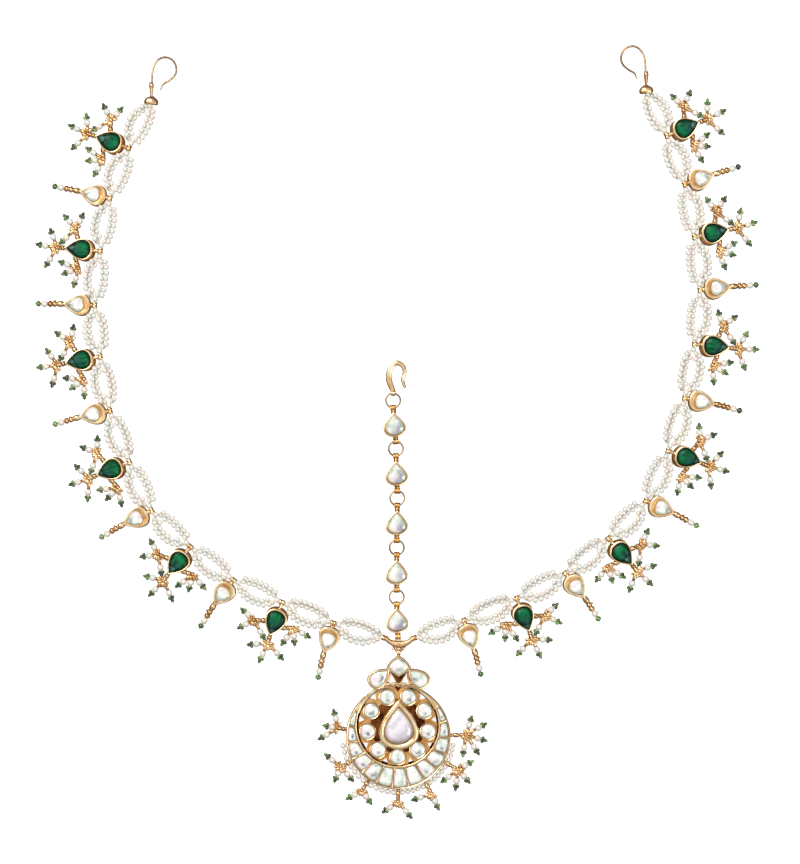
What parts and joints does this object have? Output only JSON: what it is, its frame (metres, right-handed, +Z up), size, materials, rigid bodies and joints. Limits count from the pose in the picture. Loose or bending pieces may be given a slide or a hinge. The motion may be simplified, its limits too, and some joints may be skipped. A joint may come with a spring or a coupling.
{
  "type": "matha patti",
  "caption": "Matha patti: strands of seed pearls with emerald and uncut diamond motifs frame the hairline, with a centre chain along the parting and a round forehead pendant.",
  "frame": {"origin": "on the surface it lies on, under the middle of the jewel's outline", "axes": "+Z up out of the surface, +Y from the pendant to the side hooks, +X to the jewel's right-hand strand in the picture"},
  "size_m": [0.26, 0.2782, 0.0054],
  "materials": {
    "gold": "polished 22 carat gold, warm orange-yellow, soft hand-burnished edges",
    "emerald": "deep green cut and polished emerald",
    "polki": "flat-cut uncut diamond over silver foil",
    "pearl": "lustrous white pearl",
    "seed_pearl": "silvery white seed pearl, soft lustre"
  },
  "bodies": {
    "root": {"hook_left": "gold", "hook_right": "gold", "strand_left": "seed_pearl", "strand_right": "seed_pearl", "emerald_setting_l1": "gold", "emerald_setting_l2": "gold", "emerald_setting_l3": "gold", "emerald_setting_l4": "gold", "emerald_setting_l5": "gold", "emerald_setting_l6": "gold", "emerald_setting_r1": "gold", "emerald_setting_r2": "gold", "emerald_setting_r3": "gold", "emerald_setting_r4": "gold", "emerald_setting_r5": "gold", "emerald_setting_r6": "gold", "emerald_stone_l1": "emerald", "emerald_stone_l2": "emerald", "emerald_stone_l3": "emerald", "emerald_stone_l4": "emerald", "emerald_stone_l5": "emerald", "emerald_stone_l6": "emerald", "emerald_stone_r1": "emerald", "emerald_stone_r2": "emerald", "emerald_stone_r3": "emerald", "emerald_stone_r4": "emerald", "emerald_stone_r5": "emerald", "emerald_stone_r6": "emerald", "polki_setting_l1": "gold", "polki_setting_l2": "gold", "polki_setting_l3": "gold", "polki_setting_l4": "gold", "polki_setting_l5": "gold", "polki_setting_l6": "gold", "polki_setting_r1": "gold", "polki_setting_r2": "gold", "polki_setting_r3": "gold", "polki_setting_r4": "gold", "polki_setting_r5": "gold", "polki_setting_r6": "gold", "polki_stones_left": "polki", "polki_stones_right": "polki", "tassel_pearls_left": "pearl", "tassel_pearls_right": "pearl", "chain_hook": "gold", "chain_rings": "gold", "chain_drops": "gold", "chain_stones": "polki", "yoke": "gold", "pendant_frame": "gold", "pendant_centre_stone": "polki", "pendant_petal_stones": "polki", "pendant_crescent_stones": "polki", "pendant_crown_stones": "polki", "pendant_edge_pearls": "seed_pearl", "pendant_tassel_pearls": "pearl"}
  },
  "joints": []
}
